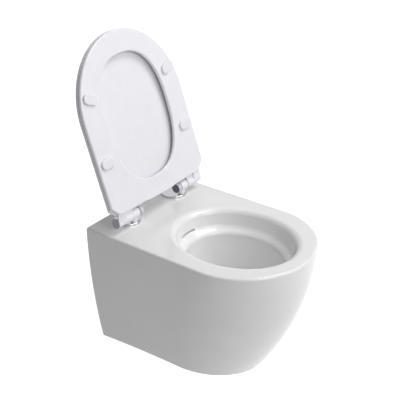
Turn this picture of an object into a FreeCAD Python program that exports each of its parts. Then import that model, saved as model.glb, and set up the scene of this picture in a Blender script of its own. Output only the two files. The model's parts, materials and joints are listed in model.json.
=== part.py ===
"""Wall hung toilet: rimless ceramic pan, slim seat and lid on two soft-close hinges.

Millimetres. The origin is midway between the two wall fixing holes, on the wall plane.
+Z is up, the wall stands on the +Y side at y = 0, and the bowl reaches out along -Y.
The seat and the lid are drawn shut, about their own hinge axis, and then swung open.
"""
import FreeCAD, Part
import Sketcher
import math
import os
import re

from FreeCAD import Matrix, Placement, Rotation, Vector

SIZES = {
    # pan, outside
    "pan_length": 503, "pan_width": 357.5, "pan_height": 338, "pan_back_width": 357,
    "pan_straight": 331, "foot_length": 386, "foot_width": 258, "foot_back_width": 280,
    "foot_straight": 225, "nose_curve": 1.95, "side_curve": 1.88, "rim_edge_radius": 6,
    "foot_edge_radius": 13, "rim_height": 80,
    # pan, walls
    "shell_wall": 11, "deck_wall": 14, "floor_wall": 12, "bowl_wall": 11, "web_wall": 14,
    "web_drop": 34, "access_width": 216, "access_reach": 104,
    # bowl
    "bowl_width": 247, "bowl_length": 295, "bowl_centre": 309.5, "bowl_lip": 15,
    "bowl_draft": 5, "ledge_top": 42, "ledge_edge": 53, "ledge_bottom": 66, "ledge_width": 15,
    "ledge_top_radius": 14, "ledge_edge_radius": 12, "sump_width": 76, "sump_length": 84,
    "sump_depth": 300, "sump_centre": 246, "bowl_curve": 1.25, "bowl_fall": 1.4,
    # trap, waste and flush water
    "trap_bore": 60, "trap_wall": 9, "trap_sill": 4, "trap_turn": 186, "trap_bend": 46,
    "weir_rise": 119, "weir_from_wall": 128, "waste_drop": 100, "waste_diameter": 102, "waste_wall": 7,
    "waste_bore_depth": 62, "waste_setback": 4, "inlet_rise": 35, "inlet_bore": 55,
    "inlet_depth": 45, "inlet_wall": 9, "channel_bore": 40, "channel_reach": 128,
    "nozzle_width": 50, "nozzle_gap": 5, "nozzle_rise": 1,
    # wall fixings
    "fixing_spacing": 180, "fixing_bore": 30, "boss_wall": 9, "boss_length": 58,
    "stud_hole": 13, "bush_length": 52, "clamp_screw": 8, "clamp_head": 13,
    "clamp_head_height": 7, "clamp_from_wall": 30, "clamp_tip_gap": 0.6,
    # hinge fixings on the deck
    "bolt_spacing": 155, "plate_from_wall": 55, "hinge_hole": 15, "plate_offset": 12.5,
    "plate_diameter": 57, "plate_thick": 4, "gasket_thick": 1, "gasket_diameter": 55,
    "cover_diameter": 65, "cover_height": 6.5, "cover_wall": 1.3, "cover_rounding": 2,
    "bolt": 8, "bolt_length": 46, "bolt_head": 15, "bolt_head_height": 2.5,
    "cone_diameter": 25, "cone_height": 9, "cone_nose": 6, "cone_foot": 18,
    "steel_washer": 22, "washer_thick": 1.6, "nut_hub": 18, "nut_height": 13,
    "nut_wing": 40, "nut_wing_thick": 4,
    # hinge posts and housings
    "post_offset": 15, "post": 9, "post_groove": 6, "groove_height": 3, "post_tip": 4.5,
    "post_chamfer": 1.5, "hinge_from_wall": 77, "hinge_height": 27.5, "housing": 25,
    "housing_side": 9.5, "housing_length": 22, "neck": 17, "neck_gap": 0.4,
    "shaft": 7, "shaft_socket": 3.5, "shaft_gap": 2,
    # release buttons
    "button": 26, "button_depth": 10, "button_gap": 0.5, "button_floor": 2,
    "button_pocket": 19.6, "button_face": 22, "face_thick": 1, "face_inset": 0.4,
    "stem": 6, "button_travel": 2.5, "latch_thick": 2.4, "latch_width": 13,
    "latch_bridge": 2.2, "latch_end": 2,
    "spring_wire": 0.8, "spring_diameter": 12, "spring_turns": 4,
    # seat and lid, drawn shut about the hinge axis
    "seat_width": 351, "seat_reach": 425, "seat_straight": 241, "seat_thick": 9.7,
    "seat_lift": 6.3, "seat_corner": 20, "seat_rear": 17, "hinge_notch": 21,
    "notch_start": 66, "notch_run": 22, "hole_width": 224, "hole_near": 63.9, "hole_far": 368.4,
    "hole_power": 2.42, "seat_edge_radius": 2.4, "hole_edge_radius": 3.5,
    "under_edge_radius": 4.5, "arm_slope": 40,
    "lid_gap": 0.8, "lid_edge": 8, "lid_wall": 3.6, "lid_crown": 5.2, "lid_rear": 15,
    "lid_border": 14, "lid_edge_radius": 3, "open_angle": 109.7,
    # hinge knuckles, dampers and caps
    "knuckle": 25, "knuckle_bore": 14.1, "inner_knuckle": 26.5, "outer_knuckle": 26.5,
    "seam_left": 0.3, "seam_right": 3, "cap_thick": 1.5, "cap_plug": 3,
    # buffers
    "pad_length": 44, "pad_width": 25, "pad_sink": 1.5, "pad_edge_radius": 3,
    "front_pad": 295, "front_pad_tilt": 22.5, "front_pad_spacing": 278,
    "rear_pad": 144, "rear_pad_tilt": 0, "rear_pad_spacing": 290, "lid_pad": 10, "lid_pad_sink": 1.6,
    "lid_pad_near": 117, "lid_pad_far": 287, "lid_pad_near_spacing": 330,
    "lid_pad_far_spacing": 312,
    # clearances
    "run_fit": 0.05, "push_fit": 0.1, "clearance": 0.3,
}

SIDES = ((-1, "left"), (1, "right"))
PAD_ENDS = ("front", "rear")
OVERRUN = 5  # how far a cutting shape runs past the face it opens
SKIN_LEVELS = 7
BOWL_LEVELS = 8
HIDDEN_LEVELS = 5
HOLE_POINTS = 32
CROWN_MARGIN = 1.2

# places along the hinge line, counted outward from the middle plane
PLATE_X = "(bolt_spacing / 2 + plate_offset)"
POST_X = "(bolt_spacing / 2 + post_offset)"
HOUSING_INNER = f"({POST_X} - housing_side)"
HOUSING_OUTER = f"({HOUSING_INNER} + housing_length)"
BUTTON_INNER = f"({HOUSING_INNER} - button_travel - button_gap - button_depth)"
SHAFT_INNER = f"({HOUSING_OUTER} - shaft_socket)"
KNUCKLE_SPLIT = f"({HOUSING_OUTER} + inner_knuckle)"
KNUCKLE_END = f"({KNUCKLE_SPLIT} + outer_knuckle)"
SHAFT_OUTER = f"({KNUCKLE_END} - cap_plug - shaft_gap)"
LATCH_HOLE_START = f"({POST_X} - post / 2 - push_fit - button_travel)"
LATCH_HOLE_END = f"({POST_X} + post_groove / 2 + push_fit)"
LATCH_START = f"({LATCH_HOLE_START} - latch_bridge)"
LATCH_END = f"({LATCH_HOLE_END} + latch_end)"
CHANNEL_END = f"({LATCH_END} + button_travel + clearance)"

AXIS_Y = "-hinge_from_wall"
AXIS_Z = "rim_height + hinge_height"

doc = FreeCAD.newDocument("wall_hung_toilet")
sheet = doc.addObject("Spreadsheet::Sheet", "Sizes")
for row, (alias, value) in enumerate(SIZES.items(), start=1):
    sheet.set(f"A{row}", alias)
    sheet.set(f"B{row}", str(value))
    sheet.setAlias(f"B{row}", alias)
doc.recompute()

nodes = []


# ---------------------------------------------------------------- shared helpers

def size(alias):
    """A driving dimension, read from the sheet."""
    return float(getattr(sheet, alias))


def formula(text):
    """Point every alias in the text at its cell in the sheet."""
    return re.sub(r"[a-z][a-z_]+", lambda word: f"Sizes.{word[0]}" if word[0] in SIZES else word[0], text)


def worked_out(text):
    """The value of a formula, for the shapes that are made in code."""
    return float(sheet.evalExpression(formula(text)))


def bind(item, formulas):
    for target, text in formulas.items():
        item.setExpression(target, formula(text))
    return item


def place(item, x="0", y="0", z="0", axis=None, angle=0):
    """Turn the item, then tie its place to the sheet."""
    if axis is not None:
        item.Placement = Placement(Vector(), Rotation(axis, angle))
    return bind(item, {"Placement.Base.x": x, "Placement.Base.y": y, "Placement.Base.z": z})


def place_on_hinge_line(item, side):
    """Stand the item's own Z along the hinge line, counted outward from the middle plane."""
    return place(item, "0", AXIS_Y, AXIS_Z, Vector(0, 1, 0), 90 * side)


def node(name, item):
    item.Label = name
    nodes.append(item)
    return item


def cylinder(label, diameter, length):
    item = doc.addObject("Part::Cylinder", label)
    return bind(item, {"Radius": f"({diameter}) / 2", "Height": length})


def block(label, length, width, height):
    item = doc.addObject("Part::Box", label)
    return bind(item, {"Length": length, "Width": width, "Height": height})


def joined(label, pieces):
    item = doc.addObject("Part::MultiFuse", label)
    item.Shapes = pieces
    item.Refine = True
    return item


def carved(label, base, tools):
    """The base without its tools."""
    item = doc.addObject("Part::Cut", label)
    item.Base = base
    item.Tool = tools[0] if len(tools) == 1 else joined(f"{label}_tools", tools)
    return item


def flat_sketch(body):
    """An empty sketch on the body's XZ plane."""
    sketch = body.newObject("Sketcher::SketchObject", f"{body.Name}_outline")
    plane = next(item for item in body.Origin.OriginFeatures if item.Role == "XZ_Plane")
    sketch.AttachmentSupport = [(plane, "")]
    sketch.MapMode = "FlatFace"
    return sketch


def closed_sketch(body, corners):
    """A closed outline whose corners are each held by two formulas."""
    sketch = flat_sketch(body)
    spots = [Vector(*(worked_out(text) for text in pair)) for pair in corners]
    for index, spot in enumerate(spots):
        sketch.addGeometry(Part.LineSegment(spot, spots[(index + 1) % len(spots)]), False)
    for index, (across, along) in enumerate(corners):
        sketch.addConstraint(Sketcher.Constraint("Coincident", (index - 1) % len(spots), 2, index, 1))
        hold_corner(sketch, index, "DistanceX", across, spots[index].x, -2)
        hold_corner(sketch, index, "DistanceY", along, spots[index].y, -1)
    return sketch


def hold_corner(sketch, index, kind, text, value, axis):
    if text == "0":
        sketch.addConstraint(Sketcher.Constraint("PointOnObject", index, 1, axis))
        return
    number = sketch.addConstraint(Sketcher.Constraint(kind, -1, 1, index, 1, value))
    sketch.setExpression(f"Constraints[{number}]", formula(text))


def turned(label, corners):
    """A turned piece: its (radius, height) outline goes once round the body's Z axis."""
    body = doc.addObject("PartDesign::Body", label)
    sketch = closed_sketch(body, corners)
    turn = body.newObject("PartDesign::Revolution", f"{label}_turn")
    turn.Profile = sketch
    turn.ReferenceAxis = (sketch, ["V_Axis"])
    turn.Angle = 360
    body.Tip = turn
    return body


def tube_corners(inner, outer, start, end):
    """The outline of a plain ring, from its diameters and its two ends."""
    return [(f"({inner}) / 2", start), (f"({outer}) / 2", start),
            (f"({outer}) / 2", end), (f"({inner}) / 2", end)]


def coded(label, shape):
    item = doc.addObject("Part::Feature", label)
    item.Shape = shape
    return item


def y_cylinder(diameter, x, z, near, far):
    """A cylinder along the pan's length, between two distances from the wall."""
    return Part.makeCylinder(diameter / 2, far - near, Vector(x, -near, z), Vector(0, -1, 0))


def centred_box(width, near, far, bottom, top):
    """A box on the middle plane, between two distances from the wall."""
    return Part.makeBox(width, far - near, top - bottom, Vector(-width / 2, -far, bottom))


def fuse_all(shapes):
    return shapes[0].multiFuse(shapes[1:])


# ---------------------------------------------------------------- pan

def ellipse_arc(half_x, half_y, centre_y, z, start, end):
    """Part of an ellipse whose axes lie along X and Y, by stretching a unit circle."""
    arc = Part.ArcOfCircle(Part.Circle(), math.radians(start), math.radians(end)).toShape()
    stretch = Matrix()
    stretch.A11, stretch.A22 = half_x, half_y
    stretch.A24, stretch.A34 = centre_y, z
    return arc.transformGeometry(stretch)


def ellipse_wire(half_x, half_y, centre_y, z):
    return Part.Wire([ellipse_arc(half_x, half_y, centre_y, z, start, start + 180) for start in (0, 180)])


def pan_slice(depth, inset=0, back=0):
    """One level slice of the pan: back on the wall, flared sides, half ellipse front."""
    share = depth / size("pan_height")
    width_share = share ** size("side_curve")
    length = size("pan_length") - (size("pan_length") - size("foot_length")) * share ** size("nose_curve")
    half_front = (size("pan_width") - (size("pan_width") - size("foot_width")) * width_share) / 2 - inset
    half_back = (size("pan_back_width")
                 - (size("pan_back_width") - size("foot_back_width")) * width_share) / 2 - inset
    straight = size("pan_straight") - (size("pan_straight") - size("foot_straight")) * share
    z = size("rim_height") - depth
    sides = []
    for side in (-1, 1):
        curve = Part.BezierCurve()
        curve.setPoles([Vector(side * half_back, back, z), Vector(side * half_front, -straight / 2, z),
                        Vector(side * half_front, -straight, z)])
        sides.append(curve.toShape())
    front = ellipse_arc(half_front, length - inset - straight, -straight, z, 180, 360)
    wall_line = Part.makeLine(Vector(half_back, back, z), Vector(-half_back, back, z))
    return Part.Wire([wall_line, sides[0], front, sides[1]])


def levels(count):
    """Even shares of a height, from 0 to 1."""
    return [level / (count - 1) for level in range(count)]


def pan_loft(top_depth, bottom_depth, inset, count, ruled):
    """The pan between two depths below the rim, run on past the wall plane."""
    depths = [top_depth + (bottom_depth - top_depth) * share for share in levels(count)]
    return Part.makeLoft([pan_slice(depth, inset, OVERRUN) for depth in depths], True, ruled)


def rounded_pan():
    """The outer skin, with its rim edge and its foot edge rounded and its back cut flat."""
    skin = pan_loft(0, size("pan_height"), 0, SKIN_LEVELS, False)
    for radius, level in (("rim_edge_radius", size("rim_height")),
                          ("foot_edge_radius", size("rim_height") - size("pan_height"))):
        edges = [edge for edge in skin.Edges
                 if abs(edge.BoundBox.ZMin - level) < 0.01 and abs(edge.BoundBox.ZMax - level) < 0.01
                 and edge.BoundBox.YMin < -1]
        skin = skin.makeFillet(size(radius), edges)
    top = size("rim_height")
    wall = centred_box(2 * size("pan_width"), -2 * OVERRUN, 0, top - size("pan_height") - OVERRUN,
                       top + OVERRUN)
    return skin.cut(wall)


def bowl_well():
    """The water side of the rimless rim: lip, steep wall and rounded ledge, as one tool."""
    half, lip, top = size("bowl_width") / 2, size("bowl_lip"), size("rim_height")
    foot = half - size("bowl_draft")
    ledge = foot - size("ledge_width")
    ledge_top, ledge_edge = top - size("ledge_top"), top - size("ledge_edge")
    ledge_bottom = top - size("ledge_bottom")
    mouth = Vector(half + lip, 0, top)
    lip_middle = Vector(half + lip * (1 - math.sqrt(0.5)), 0, top - lip * (1 - math.sqrt(0.5)))
    lip_end = Vector(half, 0, top - lip)
    corners = [lip_end, Vector(foot, 0, ledge_top), Vector(ledge, 0, ledge_edge),
               Vector(ledge, 0, ledge_bottom), Vector(0, 0, ledge_bottom), Vector(0, 0, top + OVERRUN),
               Vector(half + lip, 0, top + OVERRUN), mouth]
    edges = [Part.makeLine(start, end) for start, end in zip(corners, corners[1:])]
    edges.append(Part.Arc(mouth, lip_middle, lip_end).toShape())
    well = Part.Face(Part.Wire(edges)).revolve(Vector(), Vector(0, 0, 1), 360)
    for radius, level in (("ledge_top_radius", ledge_top), ("ledge_edge_radius", ledge_edge)):
        well = rounded_where(well, size(radius), lambda box: level_at(box, level))
    stretch = Matrix()
    stretch.A22 = size("bowl_length") / size("bowl_width")
    stretch.A24 = -size("bowl_centre")
    return well.transformGeometry(stretch)


def bowl_level(share, bottom, spread):
    """One ellipse of the lower bowl, from its ledge at share 0 to its sump at share 1."""
    ledge_half = size("bowl_width") / 2 - size("bowl_draft") - size("ledge_width")
    stretch = size("bowl_length") / size("bowl_width")
    fullness = (1 - share ** size("bowl_curve")) ** size("bowl_fall")
    half_x = size("sump_width") / 2 + (ledge_half - size("sump_width") / 2) * fullness + spread
    half_y = size("sump_length") / 2 + (ledge_half * stretch - size("sump_length") / 2) * fullness + spread
    centre = size("bowl_centre") + (size("sump_centre") - size("bowl_centre")) * share
    z = size("rim_height") - size("ledge_bottom") - (bottom - size("ledge_bottom")) * share
    return ellipse_wire(half_x, half_y, -centre, z)


def lower_bowl(bottom, spread, count, ruled):
    return Part.makeLoft([bowl_level(share, bottom, spread) for share in levels(count)], True, ruled)


def bowl_inside():
    return bowl_well().fuse(lower_bowl(size("sump_depth"), 0, BOWL_LEVELS, False))


def bowl_shell():
    """The ceramic round the bowl, from the middle of the deck to below the sump."""
    wall, top = size("bowl_wall"), size("rim_height")
    collar = ellipse_wire(size("bowl_width") / 2 + wall, size("bowl_length") / 2 + wall,
                          -size("bowl_centre"), top - size("deck_wall") / 2)
    drop = size("ledge_bottom") + wall / 2 - size("deck_wall") / 2
    collar = Part.Face(collar).extrude(Vector(0, 0, -drop))
    return collar.fuse(lower_bowl(size("sump_depth") + wall, wall * math.sqrt(2), HIDDEN_LEVELS, True))


def trap_line():
    """The trap's centre line: from the sump under the dip, up to the weir, down to the waste."""
    low = size("rim_height") - size("sump_depth") + size("trap_sill") + size("trap_bore") / 2
    corners = [Vector(0, -size("sump_centre"), low), Vector(0, -size("trap_turn"), low),
               Vector(0, -size("weir_from_wall"), low + size("weir_rise")),
               Vector(0, OVERRUN - size("waste_bore_depth"), -size("waste_drop"))]
    edges, start = [], corners[0]
    for before, corner, after in zip(corners, corners[1:], corners[2:]):
        back, on = (before - corner).normalize(), (after - corner).normalize()
        half_angle = back.getAngle(on) / 2
        reach = size("trap_bend") / math.tan(half_angle)
        middle = size("trap_bend") * (1 / math.sin(half_angle) - 1)
        bend = [corner + back * reach, corner + (back + on).normalize() * middle, corner + on * reach]
        edges += [Part.makeLine(start, bend[0]), Part.Arc(*bend).toShape()]
        start = bend[2]
    return Part.Wire(edges + [Part.makeLine(start, corners[-1])])


def trap_pipe(diameter):
    """A round bar along the trap's centre line."""
    line = trap_line()
    start = Vector(0, -size("sump_centre"), line.BoundBox.ZMin)
    ring = Part.makeCircle(diameter / 2, start, Vector(0, 1, 0))
    return line.makePipeShell([Part.Wire(ring)], True, True)


def pan_solid():
    top = size("rim_height")
    underside, floor = top - size("deck_wall"), top - size("pan_height")
    web_bottom = -size("web_drop")
    hollow = pan_loft(size("deck_wall"), size("pan_height") - size("floor_wall"), size("shell_wall"),
                      HIDDEN_LEVELS, True)
    web = centred_box(2 * size("pan_width"), 0, size("web_wall"), web_bottom, top)
    hollow = hollow.cut(web)
    skin = rounded_pan().cut(hollow)

    boss = size("fixing_bore") + 2 * size("boss_wall")
    trap_outer = size("trap_bore") + 2 * size("trap_wall")
    inlet_outer = size("inlet_bore") + 2 * size("inlet_wall")
    channel_outer = size("channel_bore") + 2 * size("inlet_wall")
    nozzle_bottom = top - size("ledge_top") + size("nozzle_rise")
    nozzle_top = nozzle_bottom + size("nozzle_gap")
    bowl_back = size("bowl_centre") - size("bowl_length") / 2
    waste_far = size("waste_bore_depth") + size("trap_wall")
    added = [bowl_shell(), trap_pipe(trap_outer),
             y_cylinder(size("waste_diameter"), 0, -size("waste_drop"), size("waste_setback"), waste_far),
             y_cylinder(inlet_outer, 0, size("inlet_rise"), 0, size("inlet_depth") + size("inlet_wall")),
             y_cylinder(channel_outer, 0, size("inlet_rise"), size("inlet_depth"),
                        size("channel_reach") + size("inlet_wall")),
             centred_box(size("nozzle_width") + 2 * size("inlet_wall"),
                         size("channel_reach") - size("inlet_wall"), bowl_back,
                         nozzle_bottom - size("inlet_wall"), nozzle_top + size("inlet_wall"))]
    removed = [bowl_inside(), trap_pipe(size("trap_bore")),
               y_cylinder(size("waste_diameter") - 2 * size("waste_wall"), 0, -size("waste_drop"),
                          -OVERRUN, size("waste_bore_depth")),
               y_cylinder(size("inlet_bore"), 0, size("inlet_rise"), -OVERRUN, size("inlet_depth")),
               y_cylinder(size("channel_bore"), 0, size("inlet_rise"), 0, size("channel_reach")),
               centred_box(size("nozzle_width"), size("channel_reach") - size("channel_bore") / 2,
                           bowl_back + 2 * size("bowl_lip"), nozzle_bottom, nozzle_top),
               centred_box(size("access_width"), -OVERRUN, size("access_reach"), floor - OVERRUN,
                           floor + size("floor_wall") + OVERRUN)]
    clamp_hole = size("clamp_screw") + 2 * size("clearance")
    for side, _ in SIDES:
        x = side * size("fixing_spacing") / 2
        added.append(y_cylinder(boss, x, 0, 0, size("boss_length")))
        removed.append(y_cylinder(size("fixing_bore"), x, 0, -OVERRUN, size("boss_length") + OVERRUN))
        removed.append(Part.makeCylinder(clamp_hole / 2, boss / 2 + OVERRUN,
                                         Vector(x, -size("clamp_from_wall"), -boss / 2 - OVERRUN)))
        removed.append(Part.makeCylinder(size("hinge_hole") / 2, size("deck_wall") + 2 * OVERRUN,
                                         Vector(side * size("bolt_spacing") / 2, -size("plate_from_wall"),
                                                underside - OVERRUN)))
    return fuse_all([skin] + added).cut(removed)


# ---------------------------------------------------------------- wall fixings

def build_wall_fixings():
    for side, word in SIDES:
        x = f"{side} * fixing_spacing / 2"
        boss_radius = "(fixing_bore / 2 + boss_wall)"
        sleeve = cylinder(f"bush_sleeve_{word}", "fixing_bore - 2 * push_fit", "bush_length")
        place(sleeve, x, "0", "0", Vector(1, 0, 0), 90)
        stud_way = cylinder(f"bush_stud_way_{word}", "stud_hole", "bush_length")
        place(stud_way, x, "0", "0", Vector(1, 0, 0), 90)
        screw_way = cylinder(f"bush_screw_way_{word}", "clamp_screw + 2 * run_fit", boss_radius)
        place(screw_way, x, "-clamp_from_wall", f"-{boss_radius}")
        node(f"fixing_bush_{word}", carved(f"fixing_bush_{word}", sleeve, [stud_way, screw_way]))

        shank = f"(fixing_bore / 2 + boss_wall - stud_hole / 2 - clamp_tip_gap + clearance)"
        screw = turned(f"fixing_clamp_screw_{word}", [
            ("0", "0"), ("clamp_head / 2", "0"), ("clamp_head / 2", "clamp_head_height"),
            ("clamp_screw / 2", "clamp_head_height"),
            ("clamp_screw / 2", f"clamp_head_height + {shank}"), ("0", f"clamp_head_height + {shank}")])
        place(screw, x, "-clamp_from_wall", f"-{boss_radius} - clearance - clamp_head_height")
        node(f"fixing_clamp_screw_{word}", screw)


# ---------------------------------------------------------------- hinge fixings

def build_hinge_fixings():
    plate_top = "gasket_thick + plate_thick"
    recess_floor = f"{plate_top} - bolt_head_height"
    for side, word in SIDES:
        plate_x = f"{side} * {PLATE_X}"
        bolt_x = f"{side} * bolt_spacing / 2"
        post_x = f"{side} * {POST_X}"

        disc = place(cylinder(f"gasket_disc_{word}", "gasket_diameter", "gasket_thick"),
                     plate_x, "-plate_from_wall", "rim_height")
        way = place(cylinder(f"gasket_way_{word}", "hinge_hole", "gasket_thick"),
                    bolt_x, "-plate_from_wall", "rim_height")
        node(f"hinge_gasket_{word}", carved(f"hinge_gasket_{word}", disc, [way]))

        disc = place(cylinder(f"plate_disc_{word}", "plate_diameter", "plate_thick"),
                     plate_x, "-plate_from_wall", "rim_height + gasket_thick")
        way = place(cylinder(f"plate_way_{word}", "bolt + 2 * clearance", "plate_thick"),
                    bolt_x, "-plate_from_wall", "rim_height + gasket_thick")
        recess = place(cylinder(f"plate_recess_{word}", "bolt_head + 2 * clearance", "bolt_head_height"),
                       bolt_x, "-plate_from_wall", f"rim_height + {recess_floor}")
        node(f"hinge_plate_{word}", carved(f"hinge_plate_{word}", disc, [way, recess]))

        post = turned(f"hinge_post_{word}", post_corners())
        node(f"hinge_post_{word}", place(post, post_x, AXIS_Y, f"rim_height + {plate_top}"))

        cap = turned(f"cover_cap_{word}", [
            ("0", "cover_height - cover_wall"),
            ("cover_diameter / 2 - cover_wall", "cover_height - cover_wall"),
            ("cover_diameter / 2 - cover_wall", "0"), ("cover_diameter / 2", "0"),
            ("cover_diameter / 2", "cover_height"), ("0", "cover_height")])
        round_top_rim(cap, "cover_rounding")
        place(cap, plate_x, "-plate_from_wall", "rim_height")
        way = place(cylinder(f"cover_way_{word}", "post + 2 * clearance", "cover_height"),
                    post_x, AXIS_Y, "rim_height")
        node(f"hinge_cover_{word}", carved(f"hinge_cover_{word}", cap, [way]))

        build_hinge_bolt(word, bolt_x)


def post_corners():
    """Half outline of a post: shank, latch groove at the hinge line, chamfered tip."""
    groove_middle = "(hinge_height - gasket_thick - plate_thick)"
    groove_start = f"{groove_middle} - groove_height / 2"
    groove_end = f"{groove_middle} + groove_height / 2"
    return [("0", "0"), ("post / 2", "0"), ("post / 2", groove_start), ("post_groove / 2", groove_start),
            ("post_groove / 2", groove_end), ("post / 2", groove_end),
            ("post / 2", f"{groove_end} + post_tip - post_chamfer"),
            ("post / 2 - post_chamfer", f"{groove_end} + post_tip"), ("0", f"{groove_end} + post_tip")]


def round_top_rim(body, radius):
    """Round the widest circle at the top of a turned body."""
    doc.recompute()
    base = body.Tip
    top = base.Shape.BoundBox.ZMax
    rims = [f"Edge{number}" for number, edge in enumerate(base.Shape.Edges, start=1)
            if edge.BoundBox.ZMin > top - 0.01]
    fillet = body.newObject("PartDesign::Fillet", f"{body.Name}_rounding")
    fillet.Base = (base, rims)
    bind(fillet, {"Radius": radius})
    body.Tip = fillet


def build_hinge_bolt(word, x):
    """Bolt, cone washer, steel washer and wing nut of one hinge, from the plate down."""
    head_top = "(gasket_thick + plate_thick)"
    cone_top = "(deck_wall - cone_nose)"
    washer_top = "(deck_wall + cone_height)"
    nut_top = f"({washer_top} + washer_thick)"
    at_y = "-plate_from_wall"

    bolt = turned(f"hinge_bolt_{word}", [
        ("0", "0"), ("bolt / 2", "0"), ("bolt / 2", "bolt_length - bolt_head_height"),
        ("bolt_head / 2", "bolt_length - bolt_head_height"), ("bolt_head / 2", "bolt_length"),
        ("0", "bolt_length")])
    node(f"hinge_bolt_{word}", place(bolt, x, at_y, f"rim_height + {head_top} - bolt_length"))

    bore = "bolt / 2 + run_fit"
    cone = turned(f"cone_washer_{word}", [
        (bore, "0"), ("cone_foot / 2", "0"), ("cone_diameter / 2", "cone_height - cone_height / 3"),
        ("cone_diameter / 2", "cone_height"), ("hinge_hole / 2 - clearance", "cone_height"),
        ("hinge_hole / 2 - clearance", "cone_height + cone_nose"), (bore, "cone_height + cone_nose")])
    node(f"cone_washer_{word}", place(cone, x, at_y, f"rim_height - {washer_top}"))

    ring = turned(f"steel_washer_{word}", tube_corners("bolt + 2 * run_fit", "steel_washer", "0",
                                                       "washer_thick"))
    node(f"steel_washer_{word}", place(ring, x, at_y, f"rim_height - {nut_top}"))

    hub = place(cylinder(f"nut_hub_{word}", "nut_hub", "nut_height"), x, at_y,
                f"rim_height - {nut_top} - nut_height")
    wing = place(block(f"nut_wing_{word}", "nut_wing", "nut_wing_thick", "nut_height * 2 / 3"),
                 f"{x} - nut_wing / 2", f"{at_y} - nut_wing_thick / 2",
                 f"rim_height - {nut_top} - nut_height")
    thread = place(cylinder(f"nut_thread_{word}", "bolt + 2 * run_fit", "nut_height"), x, at_y,
                   f"rim_height - {nut_top} - nut_height")
    node(f"wing_nut_{word}", carved(f"wing_nut_{word}", joined(f"nut_wings_{word}", [hub, wing]), [thread]))


# ---------------------------------------------------------------- hinge housings and buttons

def build_housing(side, word):
    """One hinge housing: a barrel on the hinge line and a neck that drops over the post."""
    post_x = f"{side} * {POST_X}"
    post_top = "(hinge_height + groove_height / 2 + post_tip)"
    neck_start = "(cover_height + neck_gap)"
    barrel = turned(f"housing_barrel_{word}", [
        ("0", HOUSING_INNER), ("housing / 2", HOUSING_INNER), ("housing / 2", HOUSING_OUTER),
        ("0", HOUSING_OUTER)])
    place_on_hinge_line(barrel, side)
    neck = place(cylinder(f"housing_neck_{word}", "neck", f"hinge_height - {neck_start}"),
                 post_x, AXIS_Y, f"rim_height + {neck_start}")
    post_way = place(cylinder(f"housing_post_way_{word}", "post + 2 * run_fit",
                              f"{post_top} + clearance - {neck_start}"),
                     post_x, AXIS_Y, f"rim_height + {neck_start}")
    channel_width = "(latch_width + 2 * push_fit)"
    channel_height = "(latch_thick + 2 * push_fit)"
    channel = block(f"housing_channel_{word}", channel_height, channel_width,
                    f"{CHANNEL_END} - {HOUSING_INNER}")
    place_on_hinge_line(channel, side)
    bind(channel, {"Placement.Base.x": f"{side} * {HOUSING_INNER}",
                   "Placement.Base.y": f"{AXIS_Y} - {channel_width} / 2",
                   "Placement.Base.z": f"{AXIS_Z} + {channel_height} / 2 * {side}"})
    stem_way = cylinder(f"housing_stem_way_{word}", "stem + 2 * push_fit", "button_travel + 2 * clearance")
    place_on_hinge_line(stem_way, side)
    bind(stem_way, {"Placement.Base.x": f"{side} * {HOUSING_INNER}"})
    socket = cylinder(f"housing_socket_{word}", "shaft + 2 * run_fit", "shaft_socket + clearance")
    place_on_hinge_line(socket, side)
    bind(socket, {"Placement.Base.x": f"{side} * ({SHAFT_INNER} - clearance)"})
    shell = joined(f"housing_shell_{word}", [barrel, neck])
    node(f"hinge_housing_{word}",
         carved(f"hinge_housing_{word}", shell, [post_way, channel, stem_way, socket]))


def build_button(side, word):
    """One release button: a cupped cap with a stem, its dark face and its latch plate."""
    back = f"({BUTTON_INNER} + button_depth)"
    floor = f"({BUTTON_INNER} + face_inset + face_thick)"
    cap = turned(f"release_button_{word}", [
        ("0", floor), ("button_face / 2", floor), ("button_face / 2", BUTTON_INNER),
        ("button / 2", BUTTON_INNER), ("button / 2", back), ("button_pocket / 2", back),
        ("button_pocket / 2", f"{floor} + button_floor"), ("stem / 2", f"{floor} + button_floor"),
        ("stem / 2", LATCH_START), ("0", LATCH_START)])
    node(f"release_button_{word}", place_on_hinge_line(cap, side))

    face = turned(f"button_face_{word}", [
        ("0", f"{BUTTON_INNER} + face_inset"),
        ("button_face / 2 - push_fit", f"{BUTTON_INNER} + face_inset"),
        ("button_face / 2 - push_fit", floor), ("0", floor)])
    node(f"button_face_{word}", place_on_hinge_line(face, side))

    strip = block(f"latch_strip_{word}", f"{LATCH_END} - {LATCH_START}", "latch_width", "latch_thick")
    start = {-1: f"-{LATCH_END}", 1: LATCH_START}[side]
    place(strip, start, f"{AXIS_Y} - latch_width / 2", f"{AXIS_Z} - latch_thick / 2")
    hole_width = "(post + 2 * push_fit)"
    hole = block(f"latch_hole_{word}", f"{LATCH_HOLE_END} - {LATCH_HOLE_START}", hole_width, "latch_thick")
    start = {-1: f"-{LATCH_HOLE_END}", 1: LATCH_HOLE_START}[side]
    place(hole, start, f"{AXIS_Y} - {hole_width} / 2", f"{AXIS_Z} - latch_thick / 2")
    node(f"latch_plate_{word}", carved(f"latch_plate_{word}", strip, [hole]))


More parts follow.
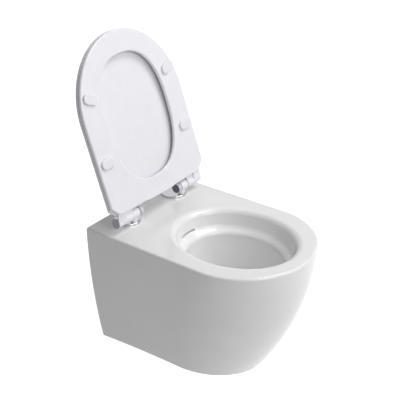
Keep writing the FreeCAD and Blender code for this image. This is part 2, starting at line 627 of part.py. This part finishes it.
def build_spring(side, word):
    """A return spring at its pressed length, from the pressed button's floor to the housing."""
    start = f"({BUTTON_INNER} + face_inset + face_thick + button_floor + button_travel + push_fit)"
    travel = f"({HOUSING_INNER} - push_fit - {start} - spring_wire)"
    body = doc.addObject("PartDesign::Body", f"button_spring_{word}")
    sketch = flat_sketch(body)
    reach = worked_out("(spring_diameter - spring_wire) / 2")
    sketch.addGeometry(Part.Circle(Vector(reach, 0), Vector(0, 0, 1), size("spring_wire") / 2), False)
    sketch.addConstraint(Sketcher.Constraint("PointOnObject", 0, 3, -1))
    across = sketch.addConstraint(Sketcher.Constraint("DistanceX", -1, 1, 0, 3, reach))
    wire = sketch.addConstraint(Sketcher.Constraint("Radius", 0, size("spring_wire") / 2))
    bind(sketch, {f"Constraints[{across}]": "(spring_diameter - spring_wire) / 2",
                  f"Constraints[{wire}]": "spring_wire / 2"})
    coil = body.newObject("PartDesign::AdditiveHelix", f"spring_coil_{word}")
    coil.Profile = sketch
    coil.ReferenceAxis = (sketch, ["V_Axis"])
    coil.Mode = "pitch-height-angle"
    bind(coil, {"Pitch": f"{travel} / spring_turns", "Height": travel})
    body.Tip = coil
    place_on_hinge_line(body, side)
    bind(body, {"Placement.Base.x": f"{side} * ({start} + spring_wire / 2)"})
    node(f"button_spring_{word}", body)


# ---------------------------------------------------------------- seat and lid

def seat_underside():
    return size("seat_lift") - size("hinge_height")


def lid_underside():
    return seat_underside() + size("seat_thick") + size("lid_gap")


def seat_outline(rear, notch, z, inset=0):
    """The shared outline of seat and lid about the hinge line, which is at y = 0."""
    half = size("seat_width") / 2 - inset
    corner = size("seat_corner")
    straight = size("seat_straight")
    right = [Vector(half - corner, -notch, z), Vector(half, -notch - corner, z), Vector(half, -straight, z)]
    if notch > rear:
        start = size("notch_start")
        right = [Vector(start - size("notch_run"), -rear, z), Vector(start, -notch, z)] + right
    left = [Vector(-point.x, point.y, z) for point in reversed(right)]
    lines = [Part.makeLine(start, end) for start, end in zip(right, right[1:])]
    front = ellipse_arc(half, size("seat_reach") - inset - straight, -straight, z, 180, 360)
    lines += [Part.makeLine(start, end) for start, end in zip(left, left[1:])]
    return Part.Wire(Part.__sortEdges__(lines + [front, Part.makeLine(left[-1], right[0])]))


def hole_outline(z):
    """The opening of the seat ring: a superellipse, as a smooth closed curve."""
    half_x = size("hole_width") / 2
    half_y = (size("hole_far") - size("hole_near")) / 2
    middle = (size("hole_far") + size("hole_near")) / 2
    power = 2 / size("hole_power")
    points = []
    for index in range(HOLE_POINTS):
        angle = 2 * math.pi * index / HOLE_POINTS
        across, along = math.cos(angle), math.sin(angle)
        points.append(Vector(math.copysign(abs(across) ** power, across) * half_x,
                             math.copysign(abs(along) ** power, along) * half_y - middle, z))
    curve = Part.BSplineCurve()
    curve.interpolate(Points=points, PeriodicFlag=True)
    return Part.Wire(curve.toShape())


def rounded_where(solid, radius, chosen):
    return solid.makeFillet(radius, [edge for edge in solid.Edges if chosen(edge.BoundBox)])


def level_at(box, z):
    return abs(box.ZMin - z) < 0.01 and abs(box.ZMax - z) < 0.01


def knuckle(start, end):
    """Both knuckles of one leaf, as (solid, bore) pairs about the hinge line."""
    pairs = []
    for side, _ in SIDES:
        first = {-1: start[0], 1: start[1]}[side]
        last = {-1: end[0], 1: end[1]}[side]
        base, along = Vector(side * first, 0, 0), Vector(side, 0, 0)
        pairs.append((side, first, last,
                      Part.makeCylinder(size("knuckle") / 2, last - first, base, along),
                      Part.makeCylinder(size("knuckle_bore") / 2, last - first, base, along)))
    return pairs


def arm(side, first, last, corners):
    """A strap of one leaf between two distances from the middle, from its side outline."""
    points = [Vector(side * first, y, z) for y, z in corners + corners[:1]]
    return Part.Face(Part.makePolygon(points)).extrude(Vector(side * (last - first), 0, 0))


def seat_solid():
    under, thick = seat_underside(), size("seat_thick")
    top = under + thick
    plate = Part.Face(seat_outline(size("seat_rear"), size("hinge_notch"), under))
    plate = plate.extrude(Vector(0, 0, thick))
    front_of = -size("hinge_notch") - 1
    plate = rounded_where(plate, size("seat_edge_radius"),
                          lambda box: level_at(box, top) and box.YMin < front_of)
    plate = rounded_where(plate, size("under_edge_radius"),
                          lambda box: level_at(box, under) and box.YMin < front_of)
    opening = Part.Face(hole_outline(under - OVERRUN)).extrude(Vector(0, 0, thick + 2 * OVERRUN))
    ring = plate.cut(opening)
    inside = size("hole_width") / 2 + 1
    ring = rounded_where(ring, size("hole_edge_radius"),
                         lambda box: (level_at(box, top) or level_at(box, under))
                         and box.XMax < inside and box.XMin > -inside
                         and box.YMax < -size("hole_near") + 1 and box.YMin > -size("hole_far") - 1)
    radius = size("knuckle") / 2
    lid_edge = size("lid_rear") - size("clearance") * 2
    strap = [(-size("arm_slope"), under), (-size("arm_slope"), top), (-lid_edge, top),
             (-radius, 0), (0, 0), (0, -radius)]
    outer = worked_out(f"{KNUCKLE_SPLIT} + clearance / 2")
    for side, first, last, barrel, bore in knuckle([outer, outer], [worked_out(KNUCKLE_END)] * 2):
        ring = ring.fuse([arm(side, first, last, strap), barrel]).cut(bore)
    for side, _ in SIDES:
        for end in PAD_ENDS:
            ring = ring.cut(pad_shape(side, end, under - OVERRUN, OVERRUN + size("pad_sink"),
                                      size("push_fit")))
    return ring


def pad_shape(side, end, bottom, height, grow=0):
    """A buffer pad with round ends, lying across one arm of the seat, its outer end tilted forward."""
    half = size("pad_width") / 2 + grow
    run = (size("pad_length") - size("pad_width")) / 2
    near, far = Vector(0, half, bottom), Vector(0, -half, bottom)
    out, back = Vector(run, 0, 0), Vector(-run, 0, 0)
    edges = [Part.makeLine(near + back, near + out),
             Part.Arc(near + out, Vector(run + half, 0, bottom), far + out).toShape(),
             Part.makeLine(far + out, far + back),
             Part.Arc(far + back, Vector(-run - half, 0, bottom), near + back).toShape()]
    pad = Part.Face(Part.Wire(edges)).extrude(Vector(0, 0, height))
    pad.rotate(Vector(), Vector(0, 0, 1), -side * size(f"{end}_pad_tilt"))
    pad.translate(Vector(side * size(f"{end}_pad_spacing") / 2, -size(f"{end}_pad"), 0))
    return pad


def crowned_block(top, crown, height):
    """A block whose top falls by the crown at the seat's sides and round its front.

    Two parabolas make the sheet: one across, and one along that starts at the straight's end.
    """
    half_x = size("seat_width") / 2 * CROWN_MARGIN
    start, front = size("seat_straight"), size("seat_reach") * CROWN_MARGIN
    side_fall = crown * CROWN_MARGIN ** 2
    front_fall = crown * ((front - start) / (size("seat_reach") - start)) ** 2
    stations = ((0, 0), (start / 2, 0), ((start + front) / 2, 0), (front, front_fall))
    poles = [[Vector(across * half_x, -along, top + side_fall * (1 - 2 * abs(across)) - fall)
              for along, fall in stations] for across in (-1, 0, 1)]
    sheet_surface = Part.BSplineSurface()
    sheet_surface.buildFromPolesMultsKnots(poles, [3, 3], [3, 1, 3], [0, 1], [0, start, front],
                                           False, False, 2, 2)
    return sheet_surface.toShape().extrude(Vector(0, 0, -height))


def lid_solid():
    under = lid_underside()
    crown, edge = size("lid_crown"), size("lid_edge")
    top = under + edge + crown
    tall = edge + crown + OVERRUN
    plate = Part.Face(seat_outline(size("lid_rear"), size("lid_rear"), under)).extrude(Vector(0, 0, tall))
    plate = plate.common(crowned_block(top, crown, 2 * tall))
    plate = rounded_where(plate, size("lid_edge_radius"),
                          lambda box: box.ZMin > under + edge / 2 and box.YMin < -size("lid_rear") - 1)
    border = size("lid_border")
    recess = Part.Face(seat_outline(size("lid_rear") + border, size("lid_rear") + border,
                                    under - OVERRUN, border)).extrude(Vector(0, 0, tall))
    recess = recess.common(crowned_block(top - size("lid_wall"), crown, 2 * tall))
    leaf = plate.cut(recess)
    radius = size("knuckle") / 2
    reach = size("arm_slope")
    strap = [(-reach, under), (-reach, under + edge), (-radius / 2, radius * math.sqrt(3) / 2),
             (0, 0), (0, under)]
    first = [worked_out(f"{HOUSING_OUTER} + seam_left"), worked_out(f"{HOUSING_OUTER} + seam_right")]
    last = [worked_out(f"{KNUCKLE_SPLIT} - clearance / 2")] * 2
    for side, start, end, barrel, bore in knuckle(first, last):
        leaf = leaf.fuse([arm(side, start, end, strap), barrel]).cut(bore)
    for x, along in lid_pad_places():
        leaf = leaf.cut(lid_pad_shape(x, along, size("lid_pad_sink"), size("push_fit")))
    return leaf


def lid_pad_places():
    return [(side * size(spacing) / 2, size(along)) for side, _ in SIDES
            for along, spacing in (("lid_pad_near", "lid_pad_near_spacing"),
                                   ("lid_pad_far", "lid_pad_far_spacing"))]


def lid_pad_shape(x, along, sink, grow=0):
    proud = size("lid_gap") - size("clearance")
    return Part.makeCylinder(size("lid_pad") / 2 + grow, sink + proud,
                             Vector(x, -along, lid_underside() - proud))


def swing_open(item):
    """Carry a leaf piece from its drawn place to the hinge line, turned up to its stop."""
    item.Placement = Placement(Vector(), Rotation(Vector(-1, 0, 0), 1))
    return bind(item, {"Placement.Base.y": AXIS_Y, "Placement.Base.z": AXIS_Z,
                       "Placement.Rotation.Angle": "open_angle"})


def build_seat_and_lid():
    node("seat_ring", swing_open(coded("seat_ring", seat_solid())))
    node("lid", swing_open(coded("lid", lid_solid())))
    under = seat_underside()
    proud = size("seat_lift") - size("clearance")
    for side, word in SIDES:
        for end in PAD_ENDS:
            pad = pad_shape(side, end, under - proud, proud + size("pad_sink"))
            pad = rounded_where(pad, size("pad_edge_radius"),
                                lambda box: level_at(box, under - proud))
            node(f"seat_buffer_{end}_{word}", swing_open(coded(f"seat_buffer_{end}_{word}", pad)))
    pads = [lid_pad_shape(x, along, size("lid_pad_sink")) for x, along in lid_pad_places()]
    node("lid_buffers", swing_open(coded("lid_buffers", Part.makeCompound(pads))))


# ---------------------------------------------------------------- dampers, bushes and shafts

def build_hinge_line(side, word):
    """What lies on the hinge line outside one housing: shaft, sleeves and end cap."""
    shaft = turned(f"hinge_shaft_{word}", [
        ("0", SHAFT_INNER), ("shaft / 2", SHAFT_INNER), ("shaft / 2", SHAFT_OUTER), ("0", SHAFT_OUTER)])
    node(f"hinge_shaft_{word}", place_on_hinge_line(shaft, side))

    sleeve_names = {-1: ("lid_bush_left", "seat_damper"), 1: ("lid_damper", "seat_bush_right")}[side]
    sleeve_ends = ((f"{HOUSING_OUTER} + clearance", f"{KNUCKLE_SPLIT} - clearance / 2"),
                   (f"{KNUCKLE_SPLIT} + clearance / 2", SHAFT_OUTER))
    for name, (start, end) in zip(sleeve_names, sleeve_ends):
        ring = turned(name, tube_corners("shaft + 2 * run_fit", "knuckle_bore - 2 * run_fit", start, end))
        node(name, place_on_hinge_line(ring, side))

    cap = turned(f"hinge_cap_{word}", [
        ("0", f"{KNUCKLE_END} - cap_plug"), ("knuckle_bore / 2 - run_fit", f"{KNUCKLE_END} - cap_plug"),
        ("knuckle_bore / 2 - run_fit", KNUCKLE_END), ("knuckle / 2 - clearance", KNUCKLE_END),
        ("knuckle / 2 - clearance", f"{KNUCKLE_END} + cap_thick"), ("0", f"{KNUCKLE_END} + cap_thick")])
    node(f"hinge_cap_{word}", place_on_hinge_line(cap, side))


# ---------------------------------------------------------------- assembly and export

def check_and_export():
    doc.recompute()
    for item in doc.Objects:
        if "Invalid" in item.State or "Error" in item.State:
            raise RuntimeError(f"{item.Label} did not build: {item.State}")
    for item in nodes:
        shape = item.Shape
        if shape.isNull() or not shape.isValid() or not shape.Solids:
            raise RuntimeError(f"{item.Label} is not a valid solid")
        print(f"{item.Label}: {len(shape.Solids)} solid, {shape.Volume:.0f} mm3")
    os.makedirs("parts", exist_ok=True)
    for item in nodes:
        item.Shape.exportStep(f"parts/{item.Label}.step")


node("pan_body", coded("pan_body", pan_solid()))
build_wall_fixings()
build_hinge_fixings()
for side, word in SIDES:
    build_housing(side, word)
    build_button(side, word)
    build_spring(side, word)
    build_hinge_line(side, word)
build_seat_and_lid()
check_and_export()
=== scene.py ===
"""Looks of the wall hung toilet: studio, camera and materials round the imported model.

Metres, in the model's own frame: +Z up, the wall at y = 0, the bowl towards -Y.
"""
import json

import bpy
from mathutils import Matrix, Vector

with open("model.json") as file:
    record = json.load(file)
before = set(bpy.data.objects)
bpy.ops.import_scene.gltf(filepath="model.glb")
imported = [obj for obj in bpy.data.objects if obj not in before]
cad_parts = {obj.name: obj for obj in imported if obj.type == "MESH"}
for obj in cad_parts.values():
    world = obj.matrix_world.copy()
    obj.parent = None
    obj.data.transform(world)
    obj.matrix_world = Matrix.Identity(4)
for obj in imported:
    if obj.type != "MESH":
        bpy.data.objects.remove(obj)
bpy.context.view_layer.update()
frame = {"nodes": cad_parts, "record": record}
nodes = frame["nodes"]

WHITE = (1, 1, 1, 1)

CAMERA_PLACE = Vector((-1.60186, -1.39182, 1.18267))
CAMERA_TARGET = Vector((-0.02272, -0.22145, 0.15888))
CAMERA_LENS_MM = 85.35
SENSOR_MM = 36

FLOOR_DROP = 0.65  # how far the floor lies below the wall fixings
FLOOR_SIZE = 14
FLOOR_COLOUR = (0.9, 0.9, 0.9)
FLOOR_ROUGHNESS = 0.9
FLOOR_GLOW_NEAR = 0.6  # what the camera sees on top of the lit floor, under the object
FLOOR_GLOW_FAR = 1.0
GLOW_START = 0.6  # distances from the middle of the floor between which the glow grows
GLOW_END = 2.4

LIT_PLACE = Vector((0, -0.25, 0.1))  # the middle of the object, where the lamps aim
LAMP_SIZE = 1.6
LAMPS = {  # place from the middle of the object, and power in watts
    "key": ((1.2, -2.4, 1.35), 17),
    "top": ((0.9, -0.9, 2.7), 42),
    "back": ((1.5, 0.9, 2.4), 5),
    "fill": ((-0.9, -2.4, 1.5), 25),
}
SKY_STRENGTH = 0.19
BACKDROP_STRENGTH = 1.0  # plain white
BACKDROP_RAYS = ("Is Camera Ray", "Is Glossy Ray", "Is Transmission Ray")

# Noise scales are in waves per metre, bump heights in metres.
RAMP_ENDS = (0.3, 0.7)  # where in a noise pattern its dark and its light colour are reached
GLAZE_COLOUR = (0.82, 0.82, 0.82)
GLAZE_DARK = (0.81, 0.81, 0.81)
GLAZE_LIGHT = (0.83, 0.83, 0.83)
GLAZE_ROUGHNESS = 0.1
GLAZE_SMOOTH, GLAZE_ROUGH = 0.07, 0.13
GLAZE_WAVES, GLAZE_WAVE_HEIGHT = 16, 0.0003
GLAZE_PEEL, GLAZE_PEEL_HEIGHT = 420, 0.000008
PLASTIC_GRAIN, PLASTIC_GRAIN_HEIGHT = 1300, 0.00001
PLASTIC_CLOUDS = 30
PLASTIC_DARKER = 0.975  # the share of its colour that a plastic keeps in its darkest patches
PLASTIC_SMOOTH, PLASTIC_ROUGH = 0.75, 1.25  # shares of a plastic's roughness
FINE_DETAIL, METAL_DETAIL = 2, 3


# ---------------------------------------------------------------- materials

def new_material(name, colour, roughness, metallic=0.0):
    """A material and its shader, ready for more nodes."""
    material = bpy.data.materials.new(name)
    material.use_nodes = True
    shader = material.node_tree.nodes["Principled BSDF"]
    shader.inputs["Base Color"].default_value = (*colour, 1)
    shader.inputs["Roughness"].default_value = roughness
    shader.inputs["Metallic"].default_value = metallic
    return material, shader


def add_noise(material, scale, detail):
    """A noise pattern in the model's own coordinates."""
    tree = material.node_tree
    place = tree.nodes.new("ShaderNodeTexCoord")
    noise = tree.nodes.new("ShaderNodeTexNoise")
    noise.inputs["Scale"].default_value = scale
    noise.inputs["Detail"].default_value = detail
    tree.links.new(place.outputs["Object"], noise.inputs["Vector"])
    return noise.outputs["Fac"]


def colour_ramp(material, pattern, dark, light):
    """The pattern as a colour between two."""
    ramp = material.node_tree.nodes.new("ShaderNodeValToRGB")
    for element, place, colour in zip(ramp.color_ramp.elements, RAMP_ENDS, (dark, light)):
        element.position = place
        element.color = (*colour, 1)
    material.node_tree.links.new(pattern, ramp.inputs["Fac"])
    return ramp.outputs["Color"]


def spread(material, pattern, low, high):
    """The pattern, from 0 to 1, spread over a range of values."""
    span = material.node_tree.nodes.new("ShaderNodeMapRange")
    span.inputs["To Min"].default_value = low
    span.inputs["To Max"].default_value = high
    material.node_tree.links.new(pattern, span.inputs["Value"])
    return span.outputs["Result"]


def add_bump(material, pattern, height, over=None):
    """A bump of this height, laid over another bump if one is given."""
    bump = material.node_tree.nodes.new("ShaderNodeBump")
    bump.inputs["Distance"].default_value = height
    material.node_tree.links.new(pattern, bump.inputs["Height"])
    if over is not None:
        material.node_tree.links.new(over, bump.inputs["Normal"])
    return bump.outputs["Normal"]


def link(material, output, shader, socket):
    material.node_tree.links.new(output, shader.inputs[socket])


def glaze():
    """White sanitary glaze: glossy, with the faint waviness and pinprick grain of firing."""
    material, shader = new_material("glaze", GLAZE_COLOUR, GLAZE_ROUGHNESS)
    waves = add_noise(material, GLAZE_WAVES, FINE_DETAIL)
    peel = add_noise(material, GLAZE_PEEL, FINE_DETAIL)
    link(material, colour_ramp(material, waves, GLAZE_DARK, GLAZE_LIGHT), shader, "Base Color")
    link(material, spread(material, peel, GLAZE_SMOOTH, GLAZE_ROUGH), shader, "Roughness")
    wavy = add_bump(material, waves, GLAZE_WAVE_HEIGHT)
    link(material, add_bump(material, peel, GLAZE_PEEL_HEIGHT, wavy), shader, "Normal")
    return material


def moulded_plastic(name, colour, roughness, grain_height=PLASTIC_GRAIN_HEIGHT):
    """Injection moulded plastic with a fine grain in its gloss."""
    material, shader = new_material(name, colour, roughness)
    grain = add_noise(material, PLASTIC_GRAIN, FINE_DETAIL)
    cloud = add_noise(material, PLASTIC_CLOUDS, FINE_DETAIL)
    darker = [share * PLASTIC_DARKER for share in colour]
    polish = spread(material, grain, roughness * PLASTIC_SMOOTH, roughness * PLASTIC_ROUGH)
    link(material, colour_ramp(material, cloud, darker, colour), shader, "Base Color")
    link(material, polish, shader, "Roughness")
    link(material, add_bump(material, grain, grain_height), shader, "Normal")
    return material


def metal(name, colour, smooth, rough, grain_scale):
    """Bare or plated metal whose polish varies a little from place to place."""
    material, shader = new_material(name, colour, smooth, 1.0)
    grain = add_noise(material, grain_scale, METAL_DETAIL)
    link(material, spread(material, grain, smooth, rough), shader, "Roughness")
    return material


MATERIALS = {
    "glazed_ceramic": glaze(),
    "white_plastic": moulded_plastic("seat_plastic", (0.845, 0.838, 0.88), 0.18, 0.000004),
    "chrome": metal("chrome", (0.55, 0.54, 0.56), 0.05, 0.1, 400),
    "steel": metal("steel", (0.5, 0.51, 0.53), 0.24, 0.4, 1200),
    "rubber": moulded_plastic("rubber", (0.03, 0.03, 0.032), 0.6, 0.00003),
    "buffer_plastic": moulded_plastic("buffer_plastic", (0.8, 0.8, 0.84), 0.32),
    "dark_plastic": moulded_plastic("dark_plastic", (0.022, 0.027, 0.045), 0.25),
    "grey_plastic": moulded_plastic("grey_plastic", (0.4, 0.41, 0.43), 0.4),
    # the seat's white plastic darkened: painted shade on the buttons' end faces, which face
    # away from the lamps
    "button_ring_painted_shade": moulded_plastic("button_ring_painted_shade", (0.62, 0.6, 0.66), 0.3),
    "button_face": moulded_plastic("button_face", (0.13, 0.133, 0.17), 0.3),
}
SPECIAL = {  # nodes whose look differs from the rest of their slot
    # the buttons' rings take the darkened plastic with painted shade
    "release_button_left": "button_ring_painted_shade", "release_button_right": "button_ring_painted_shade",
    "button_face_left": "button_face", "button_face_right": "button_face",
}


def dress_nodes():
    """Give every node the material of its slot, or its own where it differs."""
    for part in frame["record"]["subparts"]:
        piece = nodes[part["node"]]
        look = SPECIAL.get(part["node"], part["material_slot"])
        piece.data.materials.clear()
        piece.data.materials.append(MATERIALS[look])


# ---------------------------------------------------------------- studio

def backdrop_share(tree):
    """1 for the rays that show the plain background, 0 for the rays that light the object."""
    path = tree.nodes.new("ShaderNodeLightPath")
    share = path.outputs[BACKDROP_RAYS[0]]
    for name in BACKDROP_RAYS[1:]:
        total = tree.nodes.new("ShaderNodeMath")
        total.operation = "ADD"
        total.use_clamp = True
        tree.links.new(share, total.inputs[0])
        tree.links.new(path.outputs[name], total.inputs[1])
        share = total.outputs["Value"]
    return share


def add_floor():
    """A pale floor that keeps the object's shadow and fades to white away from it."""
    bpy.ops.mesh.primitive_plane_add(size=FLOOR_SIZE, location=(0, LIT_PLACE.y, -FLOOR_DROP))
    floor = bpy.context.object
    floor.name = "floor"
    material, shader = new_material("floor", FLOOR_COLOUR, FLOOR_ROUGHNESS)
    shader.inputs["Specular IOR Level"].default_value = 0.0
    shader.inputs["Emission Color"].default_value = WHITE
    tree = material.node_tree
    place = tree.nodes.new("ShaderNodeTexCoord")
    distance = tree.nodes.new("ShaderNodeVectorMath")
    distance.operation = "LENGTH"
    tree.links.new(place.outputs["Object"], distance.inputs[0])
    glow = tree.nodes.new("ShaderNodeMapRange")
    for socket, value in (("From Min", GLOW_START), ("From Max", GLOW_END),
                          ("To Min", FLOOR_GLOW_NEAR), ("To Max", FLOOR_GLOW_FAR)):
        glow.inputs[socket].default_value = value
    tree.links.new(distance.outputs["Value"], glow.inputs["Value"])
    seen = tree.nodes.new("ShaderNodeMath")
    seen.operation = "MULTIPLY"
    tree.links.new(glow.outputs["Result"], seen.inputs[0])
    tree.links.new(backdrop_share(tree), seen.inputs[1])
    tree.links.new(seen.outputs["Value"], shader.inputs["Emission Strength"])
    floor.data.materials.append(material)


def add_lamps():
    """Round soft lamps that all aim at the middle of the object."""
    for name, (offset, power) in LAMPS.items():
        light = bpy.data.lights.new(name, "AREA")
        light.shape = "DISK"
        light.size = LAMP_SIZE
        light.energy = power
        lamp = bpy.data.objects.new(name, light)
        lamp.location = LIT_PLACE + Vector(offset)
        lamp.rotation_mode = "QUATERNION"
        lamp.rotation_quaternion = (-Vector(offset)).to_track_quat("-Z", "Y")
        bpy.context.scene.collection.objects.link(lamp)


def add_world():
    """Soft even surroundings; the camera and mirror-like surfaces see them as white."""
    world = bpy.data.worlds.new("studio")
    bpy.context.scene.world = world
    world.use_nodes = True
    tree = world.node_tree
    sky = tree.nodes["Background"]
    sky.inputs["Color"].default_value = WHITE
    sky.inputs["Strength"].default_value = SKY_STRENGTH
    white = tree.nodes.new("ShaderNodeBackground")
    white.inputs["Color"].default_value = WHITE
    white.inputs["Strength"].default_value = BACKDROP_STRENGTH
    blend = tree.nodes.new("ShaderNodeMixShader")
    tree.links.new(backdrop_share(tree), blend.inputs["Fac"])
    tree.links.new(sky.outputs["Background"], blend.inputs[1])
    tree.links.new(white.outputs["Background"], blend.inputs[2])
    tree.links.new(blend.outputs["Shader"], tree.nodes["World Output"].inputs["Surface"])


def add_camera():
    """The camera that was fitted to the photograph."""
    data = bpy.data.cameras.new("photo_camera")
    data.sensor_fit = "HORIZONTAL"
    data.sensor_width = SENSOR_MM
    data.lens = CAMERA_LENS_MM
    camera = bpy.data.objects.new("photo_camera", data)
    camera.location = CAMERA_PLACE
    camera.rotation_mode = "QUATERNION"
    camera.rotation_quaternion = (CAMERA_TARGET - CAMERA_PLACE).to_track_quat("-Z", "Y")
    bpy.context.scene.collection.objects.link(camera)
    bpy.context.scene.camera = camera


dress_nodes()
add_floor()
add_world()
add_lamps()
add_camera()
bpy.context.scene.view_settings.view_transform = "Standard"
